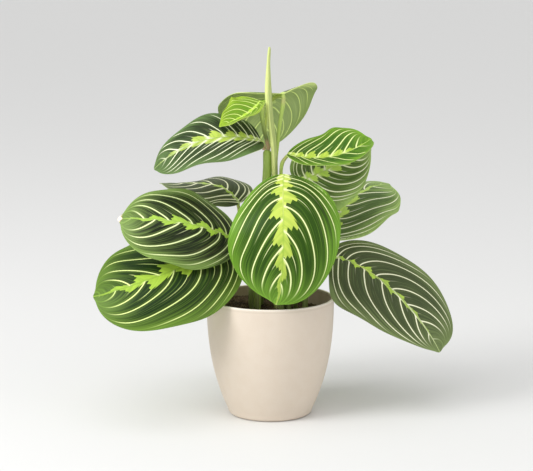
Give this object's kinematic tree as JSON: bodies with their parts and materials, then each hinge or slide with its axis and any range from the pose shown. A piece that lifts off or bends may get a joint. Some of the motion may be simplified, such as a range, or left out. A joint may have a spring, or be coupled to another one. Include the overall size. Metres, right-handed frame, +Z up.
{
  "type": "potted prayer plant",
  "caption": "Prayer plant with broad veined leaves on thin stalks and a rolled young leaf, in a plain round tapered pot filled with soil.",
  "frame": {"origin": "middle of the pot's flat foot, on the surface it stands on", "axes": "+Z up, +X to the right and +Y to the back as seen from the side that the large front leaf faces"},
  "size_m": [0.3193, 0.201, 0.3321],
  "materials": {
    "pot": "matt beige with a fine pale speckle",
    "soil": "loose dark crumbs",
    "sheath": "satin green leaf sheath",
    "rolled_leaf": "satin pale green",
    "stalk": "satin yellow green",
    "leaf_bright": "satin bright green with pale veins and a lime feather",
    "leaf_middle": "satin green with pale veins and a lime feather",
    "leaf_dark": "satin dark green with pale veins and a lime feather"
  },
  "bodies": {
    "root": {"pot": "pot", "soil": "soil", "shoot_main": "sheath", "shoot_rolled_leaf": "rolled_leaf", "leaf_front_blade": "leaf_bright", "leaf_front_stalk": "stalk", "leaf_left_blade": "leaf_dark", "leaf_left_stalk": "stalk", "leaf_low_left_blade": "leaf_middle", "leaf_low_left_stalk": "stalk", "leaf_upper_left_blade": "leaf_dark", "leaf_upper_left_stalk": "stalk", "leaf_young_blade": "leaf_bright", "leaf_young_stalk": "stalk", "leaf_top_back_blade": "leaf_middle", "leaf_top_back_stalk": "stalk", "leaf_left_rear_blade": "leaf_dark", "leaf_left_rear_stalk": "stalk", "leaf_upper_right_blade": "leaf_bright", "leaf_upper_right_stalk": "stalk", "leaf_right_blade": "leaf_dark", "leaf_right_stalk": "stalk", "leaf_right_rear_blade": "leaf_dark", "leaf_right_rear_stalk": "stalk", "leaf_low_right_blade": "leaf_dark", "leaf_low_right_stalk": "stalk", "leaf_back_left_blade": "leaf_dark", "leaf_back_left_stalk": "stalk", "leaf_back_blade": "leaf_middle", "leaf_back_stalk": "stalk"}
  },
  "joints": []
}
